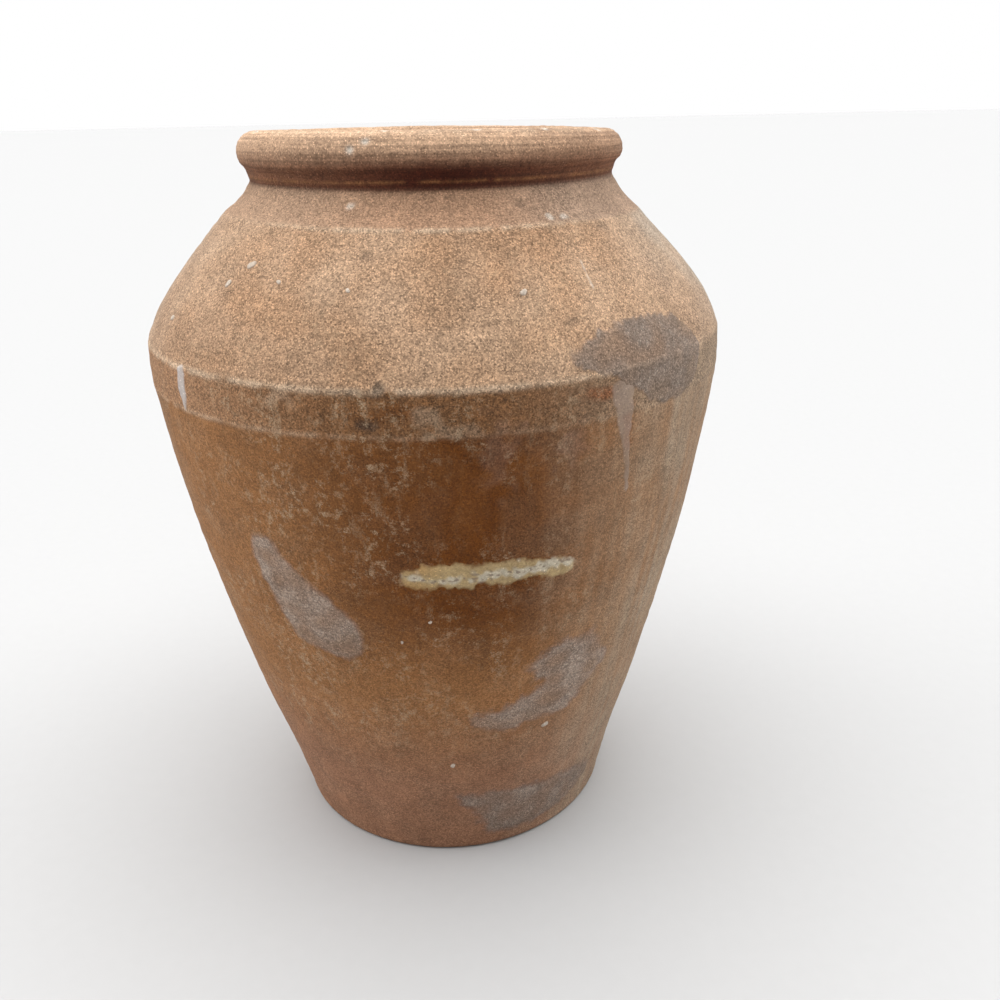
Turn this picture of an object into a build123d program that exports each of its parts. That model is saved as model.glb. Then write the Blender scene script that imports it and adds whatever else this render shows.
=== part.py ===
"""Hand-thrown terracotta jar used as a garden pot, in millimetres.

The jar stands on Z = 0 and its axis is Z. The front, which carries the strip
of old adhesive, faces -Y. It was thrown in sections that were set on each
other while leather-hard, so every section is its own solid and meets its
neighbours on a bevelled seat. Mortar, adhesive and lime lie on the fired clay
as thin films, and each of them is a solid that follows the clay's curve.
"""

import os
from math import cos, radians, sin

from build123d import *

# The jar's driving dimensions
POT_HEIGHT = 500.0
FOOT_FLAT_RADIUS = 118.0
FOOT_EDGE = (123.5, 7.0)  # top of the worn, rounded foot edge: radius, height
BELLY = (197.0, 360.0)
CREASE = (120.5, 471.0)  # where the neck meets the underside of the rim
RIM_RADIUS = 127.0
RIM_ROLL_RADIUS = 12.5
LIP_TUCK_ANGLE = 25.0  # how far round its underside the roll keeps its curve
THROAT_RADIUS = 106.0
THROAT_FOOT = 466.0
WALL = 13.0
FLOOR_THICKNESS = 18.0
FLOOR_EDGE_RADIUS = 93.0  # where the floor starts to curve up into the wall
DISH_RADIUS = 96.0
DISH_DEPTH = 1.5
DISH_SLOPE = 4.5  # width of the ring where the dish rises to its depth
DRAIN_RADIUS = 13.0

# Points that the outer line passes through from foot to crease: radius, height
WALL_POINTS = [(139.5, 70.0), (160.0, 150.0), (178.0, 230.0), (190.0, 300.0), (195.2, 338.0)]
SHOULDER_POINTS = [(195.6, 375.0), (186.5, 395.0), (167.5, 420.0), (139.0, 451.0), (127.5, 461.5)]
OUTER_POINTS = [FOOT_EDGE] + WALL_POINTS + [BELLY] + SHOULDER_POINTS + [CREASE]

# Directions in which the outer line leaves the foot and meets the crease, and
# in which the inner line leaves the throat and meets the floor's corner
OUTER_START = (0.3, 1)
OUTER_END = (-0.55, 1)
INNER_START = (0.75, -1)
INNER_END = (-0.24, -1)

# Each seat between two sections, where its line crosses the outer surface
BASE_SEAT = (125.5, 14.0)
LOWER_SEAT = (152.5, 118.0)
BAND_SEAT = (196.4, 351.0)
RIDGE_SEAT = (195.6, 376.0)
COLLAR_SEAT = (139.0, 451.0)
RIM_SEAT = CREASE
SEAT_SLOPE = 0.3  # height gained for each millimetre towards the axis
INNER_PLACES = (0.06, 0.2, 0.4, 0.58, 0.68, 0.72, 0.76, 0.8, 0.86, 0.92, 0.96)  # along the outer line
SKIN_STEPS = 24
OUTSIDE = 260.0  # a radius beyond the clay
INSIDE = 90.0  # a radius within the clay

# What lies on the clay
MORTAR_THICKNESS = 0.6
ADHESIVE_THICKNESS = 1.2
LIME_THICKNESS = 0.5
SPECK_THICKNESS = 0.7
SPECK_SIDES = 7
SPECK_TAPER = 30.0

# Outlines of the films: distance across from the film's own direction, height.
# The direction is the angle round the axis from the front, -Y, towards +X.
SHOULDER_PATCH_ANGLE = 38.0
SHOULDER_PATCH = [
    (-54, 391), (-33, 398), (-8, 403), (20, 402), (40, 397), (53, 382), (57, 372), (51, 358),
    (36, 350), (17, 349), (2, 353), (-8, 359), (-22, 367), (-30, 375), (-46, 377), (-54, 385),
]
LEFT_PATCH_ANGLE = -28.0
LEFT_PATCH = [
    (-40, 279), (-22, 281), (-13, 268), (-2, 256), (10, 246), (25, 231), (32, 218), (31, 201),
    (24, 192), (12, 189), (-1, 194), (-18, 197), (-27, 209), (-33, 228), (-39, 245), (-44, 262),
]
RIGHT_PATCH_ANGLE = 22.0
RIGHT_PATCH = [
    (-56, 143), (-40, 152), (-14, 159), (-8, 166), (-22, 181), (-8, 195), (9, 202), (25, 199),
    (36, 205), (43, 183), (56, 165), (43, 151), (30, 136), (16, 127), (-9, 129), (-26, 122), (-43, 128),
]
FOOT_PATCH_ANGLE = 26.0
FOOT_PATCH = [
    (-66, 61), (-58, 67), (-33, 67), (-12, 64), (10, 61), (36, 58), (55, 51), (62, 37), (55, 24),
    (30, 13), (6, 10), (-24, 9), (-40, 14), (-43, 28), (-54, 41),
]
STRIP_ANGLE = 8.0
STRIP = [
    (-54, 266), (-40, 270), (-17, 269), (10, 268), (26, 269), (44, 266), (54, 262), (53, 251),
    (40, 250), (26, 252), (-3, 252), (-26, 252), (-45, 251), (-56, 256),
]
RIGHT_RUN_ANGLE = 32.0
RIGHT_RUN = [(-9, 369), (4, 360), (4, 338), (7, 323), (9, 303), (5, 310), (2, 324), (-2, 337), (-7, 354)]
LEFT_RUN_ANGLE = -50.5
LEFT_RUN = [(-5, 378), (4, 377), (4, 364), (2, 355), (0, 366), (-3, 357), (-5, 366)]
HIGH_RUN_ANGLE = 31.0
HIGH_RUN = [(-1.5, 433), (2, 433), (1.5, 424), (0.5, 416), (-1, 424)]

# Lime specks and chips: angle from the front, place along the outer line, radius
SPECKS = [
    (16.0, 0.861, 2.2), (23.4, 0.24, 2.6), (-32.6, 0.873, 1.6), (-17.2, 0.868, 1.5),
    (-42.0, 0.89, 3.0), (-46.0, 0.863, 2.4), (-60.0, 0.805, 2.2), (-1.0, 0.187, 2.0),
    (-4.0, 0.455, 1.6), (-10.0, 0.422, 1.6), (120.0, 0.848, 2.4), (165.0, 0.683, 2.0),
    (-115.0, 0.822, 2.2), (-150.0, 0.52, 1.8), (85.0, 0.378, 2.0),
]

NODE_FOLDER = "parts"


def beside(edge, place, distance):
    """The radius and height of a point on the outside of an outline edge, by a distance."""
    point = edge.position_at(place)
    along = edge.tangent_at(place)
    return (point.X + distance * along.Y, point.Y - distance * along.X)


def backwards(heading):
    """The opposite of a direction in the section."""
    return (-heading[0], -heading[1])


def seat_height(seat, radius):
    """The height of a seat's slanted line at a radius."""
    return seat[1] + SEAT_SLOPE * (seat[0] - radius)


def section_corners(lower_seat, upper_seat):
    """Corners of the region between two seats, from the axis to beyond the clay."""
    low_inside = low_outside = -OUTSIDE
    high_inside = high_outside = POT_HEIGHT + OUTSIDE
    if lower_seat:
        low_inside = seat_height(lower_seat, 0)
        low_outside = seat_height(lower_seat, OUTSIDE)
    if upper_seat:
        high_inside = seat_height(upper_seat, 0)
        high_outside = seat_height(upper_seat, OUTSIDE)
    return [(0, low_inside), (OUTSIDE, low_outside), (OUTSIDE, high_outside), (0, high_inside)]


def direction(angle):
    """The horizontal direction at an angle from the front."""
    return Vector(sin(radians(angle)), -cos(radians(angle)), 0)


def facing_plane(angle):
    """An upright plane inside the jar that faces outwards at an angle, with its Y upwards."""
    outwards = direction(angle)
    across = Vector(cos(radians(angle)), sin(radians(angle)), 0)
    return Plane(origin=outwards * INSIDE, x_dir=across, z_dir=outwards)


def keep(piece, name):
    """Names a finished piece and writes it."""
    piece.part.label = name
    export_step(piece.part, os.path.join(NODE_FOLDER, name + ".step"))


# The outer line of the clay, and points of the inner line at a wall's thickness from it
with BuildLine() as outside:
    outer_line = Spline(OUTER_POINTS, tangents=[OUTER_START, OUTER_END])

inner_points = [beside(outer_line, place, -WALL) for place in INNER_PLACES]

roll_centre = (RIM_RADIUS - RIM_ROLL_RADIUS, POT_HEIGHT - RIM_ROLL_RADIUS)
lip_inner_radius = roll_centre[0] - THROAT_RADIUS
crest = (roll_centre[0], POT_HEIGHT)
lip_under = (
    roll_centre[0] + RIM_ROLL_RADIUS * cos(radians(LIP_TUCK_ANGLE)),
    roll_centre[1] - RIM_ROLL_RADIUS * sin(radians(LIP_TUCK_ANGLE)),
)
throat_foot = (THROAT_RADIUS, THROAT_FOOT)
throat_top = (THROAT_RADIUS, POT_HEIGHT - lip_inner_radius)
floor_edge = (FLOOR_EDGE_RADIUS, FLOOR_THICKNESS)

# Half of the jar's section: all of its clay in one outline
with BuildSketch(Plane.XZ) as clay:
    with BuildLine():
        add(outer_line)
        Line(CREASE, lip_under)
        RadiusArc(lip_under, crest, -RIM_ROLL_RADIUS)
        RadiusArc(crest, throat_top, -lip_inner_radius)
        Line(throat_top, throat_foot)
        inner_line = Spline([throat_foot] + inner_points[::-1], tangents=[INNER_START, INNER_END])
        TangentArc(inner_line @ 1, floor_edge, tangent=inner_line % 1)
        Polyline(
            floor_edge,
            (DRAIN_RADIUS, FLOOR_THICKNESS),
            (DRAIN_RADIUS, DISH_DEPTH),
            (DISH_RADIUS - DISH_SLOPE, DISH_DEPTH),
            (DISH_RADIUS, 0),
            (FOOT_FLAT_RADIUS, 0),
        )
        TangentArc((FOOT_FLAT_RADIUS, 0), FOOT_EDGE, tangent=(1, 0))
    make_face()


def touching_plane(angle, place):
    """The plane that touches the clay at an angle and a place along the outer line."""
    point = outer_line @ place
    along = outer_line % place
    outwards = direction(angle)
    return Plane(
        origin=outwards * point.X + Vector(0, 0, point.Y),
        x_dir=Vector(-outwards.Y, outwards.X, 0),
        z_dir=outwards * along.Y - Vector(0, 0, along.X),
    )


def film_over_all(thickness):
    """A film of one thickness over the whole outside, foot to crease."""
    skin = [beside(outer_line, step / SKIN_STEPS, thickness) for step in range(SKIN_STEPS + 1)]
    with BuildPart() as film:
        with BuildSketch(Plane.XZ):
            with BuildLine():
                add(outer_line)
                Line(CREASE, skin[-1])
                Spline(skin[::-1], tangents=[backwards(OUTER_END), backwards(OUTER_START)])
                Line(skin[0], FOOT_EDGE)
            make_face()
        revolve(axis=Axis.Z)
    return film.part


# The thrown sections, from the foot to the rim
SECTIONS = {
    "base_slab": (None, BASE_SEAT),
    "lower_wall": (BASE_SEAT, LOWER_SEAT),
    "upper_wall": (LOWER_SEAT, BAND_SEAT),
    "join_band": (BAND_SEAT, RIDGE_SEAT),
    "shoulder": (RIDGE_SEAT, COLLAR_SEAT),
    "neck_collar": (COLLAR_SEAT, RIM_SEAT),
    "rim_roll": (RIM_SEAT, None),
}

os.makedirs(NODE_FOLDER, exist_ok=True)

for section_name, (lower_seat, upper_seat) in SECTIONS.items():
    with BuildPart() as section:
        with BuildSketch(Plane.XZ):
            add(clay.sketch)
            with BuildLine():
                Polyline(*section_corners(lower_seat, upper_seat), close=True)
            make_face(mode=Mode.INTERSECT)
        revolve(axis=Axis.Z)
    keep(section, section_name)


def film_pieces(name, thickness, outlines):
    """Films on the clay, one for each outline, given as its direction's angle and its corners."""
    film = film_over_all(thickness)
    with BuildPart() as piece:
        for angle, corners in outlines:
            with BuildSketch(facing_plane(angle)):
                with BuildLine():
                    Polyline(corners, close=True)
                make_face()
            cutter = extrude(amount=OUTSIDE - INSIDE, mode=Mode.PRIVATE)
            add(film & cutter)
    keep(piece, name)


film_pieces("mortar_patch_shoulder", MORTAR_THICKNESS, [(SHOULDER_PATCH_ANGLE, SHOULDER_PATCH)])
film_pieces("mortar_patch_left", MORTAR_THICKNESS, [(LEFT_PATCH_ANGLE, LEFT_PATCH)])
film_pieces("mortar_patch_right", MORTAR_THICKNESS, [(RIGHT_PATCH_ANGLE, RIGHT_PATCH)])
film_pieces("mortar_patch_foot", MORTAR_THICKNESS, [(FOOT_PATCH_ANGLE, FOOT_PATCH)])
film_pieces("adhesive_strip", ADHESIVE_THICKNESS, [(STRIP_ANGLE, STRIP)])
film_pieces(
    "lime_runs",
    LIME_THICKNESS,
    [(RIGHT_RUN_ANGLE, RIGHT_RUN), (LEFT_RUN_ANGLE, LEFT_RUN), (HIGH_RUN_ANGLE, HIGH_RUN)],
)

with BuildPart() as specks:
    for angle, place, radius in SPECKS:
        with BuildSketch(touching_plane(angle, place)):
            RegularPolygon(radius, side_count=SPECK_SIDES)
        extrude(amount=SPECK_THICKNESS, taper=SPECK_TAPER)
keep(specks, "lime_specks")
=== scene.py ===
"""The looks of the weathered terracotta jar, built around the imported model.

Every thrown section of clay gets a fine mesh with the thrower's rings, the
ridges between sections and the slight lean of handwork. Mortar, dried
adhesive and lime lie on it as thin ragged films. All lengths are in metres.
"""

from functools import partial
from math import cos, pi, radians, sin

import bpy
import numpy as np
from mathutils import Matrix, Vector


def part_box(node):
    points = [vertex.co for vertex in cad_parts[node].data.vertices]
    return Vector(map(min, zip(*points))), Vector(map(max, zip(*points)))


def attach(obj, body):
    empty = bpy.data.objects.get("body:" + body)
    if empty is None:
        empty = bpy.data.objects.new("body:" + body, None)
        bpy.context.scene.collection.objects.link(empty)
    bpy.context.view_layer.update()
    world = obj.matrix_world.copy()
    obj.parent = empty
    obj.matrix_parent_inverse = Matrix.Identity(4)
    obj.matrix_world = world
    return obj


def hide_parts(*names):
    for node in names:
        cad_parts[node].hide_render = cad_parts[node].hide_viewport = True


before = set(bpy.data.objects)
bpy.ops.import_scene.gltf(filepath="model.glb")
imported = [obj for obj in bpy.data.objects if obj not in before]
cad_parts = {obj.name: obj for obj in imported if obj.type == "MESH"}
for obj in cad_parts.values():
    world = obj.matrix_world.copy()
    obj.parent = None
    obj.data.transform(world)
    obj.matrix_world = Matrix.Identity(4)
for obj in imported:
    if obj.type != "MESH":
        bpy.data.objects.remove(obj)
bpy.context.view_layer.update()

MM = 0.001

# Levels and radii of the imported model
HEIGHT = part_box("rim_roll")[1].z
RIM_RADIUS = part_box("rim_roll")[1].x
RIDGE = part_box("shoulder")[0].z
BAND_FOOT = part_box("join_band")[0].z
COLLAR_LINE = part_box("neck_collar")[0].z
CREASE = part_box("rim_roll")[0].z
BASE_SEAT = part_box("lower_wall")[0].z
LOWER_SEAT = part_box("upper_wall")[0].z

# The rest of the outline: seats, rim, inside, drain hole and foot
SEAT_SLOPE = 0.3
ROLL_RADIUS = 12.5 * MM
LIP_TUCK = radians(25)
TUCK_SWING = (-0.3 * MM, 0.8 * MM)
THROAT_RADIUS = 106 * MM
THROAT_FOOT = 466 * MM
WALL = 13 * MM
FLOOR_TOP = 18 * MM
DRAIN_RADIUS = 13 * MM
DRAIN_EDGE = 1.5 * MM
DISH_DEPTH = 1.5 * MM
DISH_RADIUS = 96 * MM
DISH_SLOPE = 6 * MM
FOOT_FLAT = 118 * MM

# Outside of the clay from the rounded foot to the crease under the rim, in millimetres
BODY_LINE = [
    (118.0, 0), (121.2, 1), (123, 4), (123.8, 8), (126.6, 20), (131.2, 40), (139.5, 70), (150.6, 110),
    (160.2, 150), (169.2, 190), (177.9, 230), (185.3, 270), (190.2, 300), (194.6, 335), (197.0, 360),
    (195.7, 375), (186.5, 395), (167.5, 420), (150.5, 438.5), (139.0, 450.5), (131.6, 456.5),
    (127.0, 461), (123.4, 466), (120.6, 470.5), (120.9, 474),
]
FLOOR_CORNER = [(115.5, 33), (108, 22.5), (95, 18)]
INNER_PLACES = [451, 438, 425, 405, 393, 384, 376, 366, 350, 300, 240, 170, 100, 55]

# The slight lean of the handwork, and the tilt, shift and uneven lip of its rim
LEAN = (0.0034, 0.0025)
RIM_TILT = (-0.0118, -0.0033)
RIM_SHIFT = 1.4 * MM
TILT_FROM, TILT_FULL = 0.72 * HEIGHT, 0.92 * HEIGHT
CREASE_LIFT = 0.8 * MM
CREASE_TILT = 0.012
CREASE_REACH = 13 * MM
LIP_RISE = 2.7 * MM

# The handmade surface: how far each kind of unevenness stands out, and its shortest wave
WOBBLE, WOBBLE_WAVE = 0.40 * MM, 250 * MM
LUMPS, LUMPS_WAVE = 0.17 * MM, 60 * MM
DENTS, DENTS_WAVE = 0.06 * MM, 12 * MM
THROWN, THROWN_WAVE, WEAR_WAVE = 0.15 * MM, 7.5 * MM, 80 * MM
COMBED, COMBED_WAVE = 0.07 * MM, 2.4 * MM
RIM_LUMPS, RIM_LUMPS_WAVE = 0.08 * MM, 12 * MM
FINGERS, FINGERS_WAVE = 0.5 * MM, 12 * MM

# Ridges: how far they stand out, how much that varies, and their half widths
RIDGE_RISE, RIDGE_CHANGE = 0.55, 0.13
RIDGE_WIDTH, BAND_LINE_WIDTH, COLLAR_WIDTH = 1.8 * MM, 2.0 * MM, 1.3 * MM
BAND_HOLLOW, BAND_EDGE = 0.4 * MM, 7 * MM
BEAD_RISE, BEAD_OFFSET, BEAD_WIDTH = 0.35 * MM, 3.4 * MM, 1.6 * MM
CHIP_HEIGHT = 1.8 * MM
CREST_ABOVE_CREASE = 38 * MM

# Chips in the rim: angle, millimetres from the crest, width in degrees, depth in millimetres
RIM_CHIPS = [
    (-17.3, -12.5, 1.0, 0.8), (-21.3, -17, 0.9, 0.7), (-13, -2, 0.8, 0.6), (12, -2, 1.2, 0.7),
    (33, -4, 1.0, 0.8), (57, -5, 1.0, 0.7), (-64, -3, 1.4, 0.7),
]

# Thrown sections from the foot up: material and top seat
SECTIONS = {
    "base_slab": ("terracotta", BASE_SEAT),
    "lower_wall": ("terracotta", LOWER_SEAT),
    "upper_wall": ("terracotta", BAND_FOOT),
    "join_band": ("terracotta", RIDGE),
    "shoulder": ("terracotta_shoulder", COLLAR_LINE),
    "neck_collar": ("terracotta_shoulder", CREASE),
    "rim_roll": ("terracotta_rim", None),
}

# How finely the meshes and the outline are divided
COLUMNS = 720
MIDDLE_RADIUS = 175 * MM
DENSE_STEP = 0.2 * MM
RIM_ROW, RIDGE_ROW, WALL_ROW, FLOOR_ROW, INNER_ROW = 0.85 * MM, 0.9 * MM, 2.7 * MM, 3 * MM, 7.5 * MM
NEAR_RIDGE, NEAR_RIM, NEAR_FLOOR = 9 * MM, 8 * MM, 20 * MM
SEAT_SHARES = (0.25, 0.5, 0.75)
FILM_STEP = 0.8 * MM
FINE_STEP = 0.5 * MM
SPECK_SIDES = 16

# Colours, as linear light
SALMON = (0.38, 0.235, 0.142)
PALE_CLAY = (0.50, 0.355, 0.24)
RIM_CLAY = (0.52, 0.335, 0.215)
RIM_RIGHT = (0.37, 0.225, 0.14)
NECK_LEFT = (0.40, 0.26, 0.17)
NECK_FRONT = (0.385, 0.23, 0.142)
NECK_RIGHT = (0.36, 0.245, 0.17)
BURNT = (0.132, 0.040, 0.0045)
BROWN = (0.30, 0.140, 0.054)
LOW_BROWN = (0.30, 0.15, 0.085)
BAND_BROWN = (0.185, 0.086, 0.035)
BAND_LEFT = (0.33, 0.18, 0.095)
# Dark red-brown of the rim's underside, partly painted shade
RED_BROWN = (0.20, 0.078, 0.036)
FLECK = (0.44, 0.32, 0.205)
PALE_GREY = (0.40, 0.345, 0.28)
DUST = (0.33, 0.245, 0.17)
# Soot with painted shade, for the rim's underside and the crease under it
SHADE_AND_SOOT = (0.060, 0.013, 0.006)
BLACK = (0.035, 0.028, 0.024)
INSIDE_CLAY = (0.33, 0.185, 0.115)
CHALK = (0.58, 0.50, 0.42)
MORTAR = (0.215, 0.157, 0.122)
PALE_MORTAR = (0.265, 0.205, 0.165)
MAUVE = (0.135, 0.088, 0.080)
YELLOW = (0.46, 0.335, 0.17)
CREAM = (0.58, 0.51, 0.39)
ORANGE = (0.48, 0.25, 0.07)
GREY_FILM = (0.21, 0.135, 0.105)
RUST = (0.25, 0.075, 0.022)
WASH = (0.34, 0.27, 0.225)
BLUISH = (0.50, 0.47, 0.46)

# Smudges: angle, height and spread in degrees and millimetres, cover and colour
SMUDGES = [
    (-9.4, 378.5, 1.4, 3.0, 0.65, BLACK), (-10.5, 374, 1.2, 1.5, 0.5, BLACK),
    (-12.0, 358, 2.0, 3.0, 0.6, BLACK), (-7.0, 365, 5.5, 6.0, 0.5, BURNT),
    (24, 405, 1.2, 2.0, 0.35, BLACK), (-27, 372, 3.0, 5.0, 0.4, PALE_CLAY),
    (-2, 362, 2.8, 7.0, 0.45, DUST), (2, 354, 4.0, 4.0, 0.35, DUST), (22, 338, 2.6, 14, 0.35, GREY_FILM),
    (9, 340, 3.0, 22, 0.25, GREY_FILM), (26.5, 366, 3.0, 4.5, 0.6, RUST), (33, 340, 1.2, 12, 0.4, RUST),
    (-22.5, 462, 1.0, 1.3, 0.9, CHALK), (29, 454, 1.0, 1.3, 0.8, CHALK), (33, 454, 1.0, 1.2, 0.8, CHALK),
    (22.5, 461, 1.8, 2.0, 0.35, BLACK), (43.5, 448, 2.0, 2.5, 0.35, BLACK),
    (-15, 439, 1.8, 2.2, 0.3, BLACK), (-18.5, 390, 1.4, 2.2, 0.3, BLACK),
]

# Grains of sand in a metre, and how little the clay shines
GRAIN_RATE = 1050
DULL = 0.25

# Films on the clay: how thick they are, and how deep their two sides lie in it
FILM = 0.6 * MM
RUN_FILM = 0.5 * MM
BURIED = 0.8 * MM
SINK = 0.14 * MM
STRIP_SEED, RUN_SEED, SPECK_SEED = 80, 90, 100

# Outlines of the films in millimetres: across from their own angle, and height
STRIP_ANGLE = 8
SHOULDER_PATCH = [
    (-54, 391), (-33, 398), (-8, 403), (20, 402), (40, 397), (53, 382), (57, 372), (51, 358), (36, 350),
    (17, 349), (2, 353), (-8, 359), (-22, 367), (-30, 375), (-46, 377), (-54, 385),
]
LEFT_PATCH = [
    (-40, 279), (-22, 281), (-13, 268), (-2, 256), (10, 246), (25, 231), (32, 218), (31, 201), (24, 192),
    (12, 189), (-1, 194), (-18, 197), (-27, 209), (-33, 228), (-39, 245), (-44, 262),
]
RIGHT_PATCH = [
    (-56, 143), (-40, 152), (-14, 159), (-8, 166), (-22, 181), (-8, 195), (9, 202), (25, 199), (36, 205),
    (43, 183), (56, 165), (43, 151), (30, 136), (16, 127), (-9, 129), (-26, 122), (-43, 128),
]
FOOT_PATCH = [
    (-66, 61), (-58, 67), (-33, 67), (-12, 64), (10, 61), (36, 58), (55, 51), (62, 37), (55, 24), (30, 13),
    (6, 10), (-24, 9), (-40, 14), (-43, 28), (-54, 41),
]
STRIP = [
    (-54, 267), (-40, 272), (-17, 271), (10, 269), (26, 269), (44, 266), (54, 262), (53, 251), (40, 250),
    (26, 252), (-3, 252), (-26, 252), (-45, 251), (-56, 256),
]
RIGHT_RUN = [
    (-13, 372), (7, 372), (7, 355), (6, 338), (8, 323), (11, 303), (9, 297), (5.5, 303), (2.5, 324),
    (-4, 340), (-9, 356),
]
LEFT_RUN = [(-5.5, 379), (4.5, 378), (5, 364), (3, 352), (-1, 350), (-5, 360)]
HIGH_RUN = [(-1.5, 433), (2, 433), (1.5, 424), (0.5, 416), (-1, 424)]

# Mortar patches: angle, outline, seed, raggedness and softness of the edge in millimetres, and lightness
PATCHES = {
    "mortar_patch_shoulder": (38, SHOULDER_PATCH, 40, 0.8, 3.2, 0.88),
    "mortar_patch_left": (-28, LEFT_PATCH, 50, 0.5, 7.5, 1.24),
    "mortar_patch_right": (22, RIGHT_PATCH, 60, 1.2, 11.0, 1.2),
    "mortar_patch_foot": (26, FOOT_PATCH, 70, 1.1, 11.0, 1.0),
}

# Lime runs: angle, outline, how much of the clay they cover and colour
RUNS = [(32, RIGHT_RUN, 0.52, WASH), (-50.5, LEFT_RUN, 0.75, BLUISH), (31, HIGH_RUN, 0.6, CHALK)]

# Lime specks: angle, share of the way up the outside, radius in millimetres
SPECKS = [
    (16.0, 0.861, 2.2), (23.4, 0.24, 2.6), (-32.6, 0.873, 1.6), (-17.2, 0.868, 1.5),
    (-42.0, 0.89, 3.0), (-46.0, 0.863, 2.4), (-60.0, 0.805, 2.2), (-1.0, 0.187, 2.0),
    (-4.0, 0.455, 1.2), (-10.0, 0.422, 1.1), (120.0, 0.848, 2.4), (165.0, 0.683, 2.0),
    (-115.0, 0.822, 2.2), (-150.0, 0.52, 1.8), (85.0, 0.378, 2.0),
]

# Rings of a speck, over its top and back under it: share of its radius and of its height
SPECK_HEIGHT = 0.7 * MM
SPECK_FOOT = 7 * MM
SPECK_RINGS = [
    (0.0, 1.0), (0.35, 1.0), (0.62, 0.9), (0.85, 0.55), (1.0, -0.3), (1.0, -1.0), (0.0, -1.0),
]

# The studio: direction, width in degrees and strength of each light
LIGHTS = {
    "ceiling": ((-0.05, 0.25, 2), 95, 4.8),
    "left": ((-1.7, 0.05, 0.5), 40, 1.0),
    "right": ((1.7, 0.05, 0.5), 40, 0.9),
}
WORLD_LIGHT = 0.22
WORLD_SEEN = 1.0
FLOOR_HALF = 30.0
FLOOR_GREY = 0.5

# The camera: place in heights of the jar, turns in radians, and lens
CAMERA_PLACE = Vector((0, -1.34576, 1.03202))
CAMERA_YAW = 0.06463
CAMERA_PITCH = 0.40034
CAMERA_ROLL = -0.02131
CAMERA_LENS = 33.9


def smoothstep(low, high, value):
    """0 below low, 1 above high and a smooth rise between them."""
    share = np.clip((value - low) / (high - low), 0, 1)
    return share * share * (3 - 2 * share)


def hump(value, centre, width):
    """A bell of height 1."""
    return np.exp(-(((value - centre) / width) ** 2))


def ripple(around, along, seed, wave, count=36):
    """A smooth random field of about unit spread over the pot."""
    dice = np.random.default_rng(seed)
    total = np.zeros(np.broadcast(around, along).shape)
    for heading in dice.uniform(0, pi, count):
        rate = dice.uniform(0.3, 1.0) / wave
        turns = round(rate * cos(heading) * 2 * pi * MIDDLE_RADIUS)
        phase = dice.uniform(0, 2 * pi)
        total = total + np.cos(turns * around + 2 * pi * rate * sin(heading) * along + phase)
    return total / np.sqrt(count / 2)


def swell(around, along, seed, count, turns, rates):
    """A random field from waves with whole turns round the pot and rates along it."""
    dice = np.random.default_rng(seed)
    total = np.zeros(np.broadcast(around, along).shape)
    for _ in range(count):
        across = dice.integers(*turns)
        rate = dice.uniform(*rates)
        phase = dice.uniform(0, 2 * pi)
        total = total + np.cos(across * around + 2 * pi * rate * along + phase)
    return total / np.sqrt(count / 2)


def rings(around, along, seed, wave, count=16):
    """A random field that runs round the pot, as a thrower's rings do."""
    return swell(around, along, seed, count, turns=(-2, 3), rates=(0.35 / wave, 1.0 / wave))


def wander(around, seed, most_turns, count=20):
    """A random line of unit spread round the pot."""
    dice = np.random.default_rng(seed)
    total = np.zeros(np.shape(around))
    for _ in range(count):
        total = total + np.cos(dice.integers(1, most_turns + 1) * around + dice.uniform(0, 2 * pi))
    return total / np.sqrt(count / 2)


def streaks(around, along, seed):
    """A random field that runs down the pot, as rain does."""
    return swell(around, along, seed, count=40, turns=(12, 120), rates=(-5, 5))


def degrees_from_front(around):
    """Angle in degrees, from -180 to 180, with 0 at the front."""
    return (np.degrees(around) + 180) % 360 - 180


def sideways(front, start, full, leave=115, gone=170):
    """A cover that rises from one angle to another and fades again before the back."""
    return smoothstep(start, full, front) * (1 - smoothstep(leave, gone, front))


def smooth_line(points):
    """A centripetal Catmull-Rom line through points, sampled densely."""
    knots = np.array(points, float)
    knots = np.vstack([2 * knots[0] - knots[1], knots, 2 * knots[-1] - knots[-2]])
    parts = []
    for index in range(1, len(knots) - 2):
        four = knots[index - 1:index + 3]
        spans = np.linalg.norm(np.diff(four, axis=0), axis=1)
        times = np.concatenate([[0], np.cumsum(np.sqrt(spans))])
        count = max(2, int(spans[1] / DENSE_STEP))
        now = np.linspace(times[1], times[2], count, endpoint=False)[:, None]
        level = list(four)
        for step in (1, 2):
            level = [
                blend_at(now, times[k], times[k + step], level[k], level[k + 1]) for k in range(4 - step)
            ]
        parts.append(blend_at(now, times[1], times[2], level[0], level[1]))
    return np.vstack(parts + [knots[-2:-1]])


def blend_at(now, start, end, first, second):
    """The straight blend from first at the start to second at the end."""
    return (end - now) / (end - start) * first + (now - start) / (end - start) * second


def arc(centre, radius, start, end):
    """Points along an arc between two angles."""
    count = max(4, int(abs(end - start) * radius / DENSE_STEP))
    angles = np.linspace(start, end, count)
    return np.column_stack([centre[0] + radius * np.cos(angles), centre[1] + radius * np.sin(angles)])


def straight(start, end):
    """Points along a straight line."""
    start, end = np.array(start, float), np.array(end, float)
    count = max(2, int(np.linalg.norm(end - start) / DENSE_STEP))
    return start + (end - start) * np.linspace(0, 1, count)[:, None]


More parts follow.
